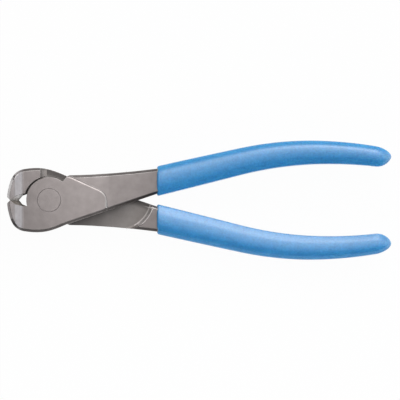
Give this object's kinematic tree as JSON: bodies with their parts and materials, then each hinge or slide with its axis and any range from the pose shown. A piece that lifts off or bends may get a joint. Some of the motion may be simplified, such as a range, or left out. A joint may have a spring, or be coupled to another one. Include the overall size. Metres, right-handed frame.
{
  "type": "end cutting nippers",
  "caption": "End cutting nippers: flared hollow-ground jaws on a riveted lap joint, with two bowed, dipped handles.",
  "frame": {"origin": "on the pivot axis, at the rear face of the joint", "axes": "+X from the jaws to the handles, +Y to the front lever's handle, +Z along the pivot from the rear face to the front face"},
  "size_m": [0.16, 0.0496, 0.0192],
  "materials": {
    "lever_steel": "satin ground tool steel, clear coated",
    "rivet_steel": "flush ground rivet head",
    "grip_coat": "dipped soft plastic, semi-matte blue"
  },
  "bodies": {
    "rear_half": {"rear_lever": "lever_steel", "pivot_rivet": "rivet_steel", "rear_grip": "grip_coat"},
    "front_half": {"front_lever": "lever_steel", "front_grip": "grip_coat"}
  },
  "joints": [
    {"name": "pivot", "type": "hinge", "parent": "rear_half", "child": "front_half", "pos_m": [0, 0, 0.006], "axis": [0, 0, 1], "range_deg": [0, 35]}
  ]
}
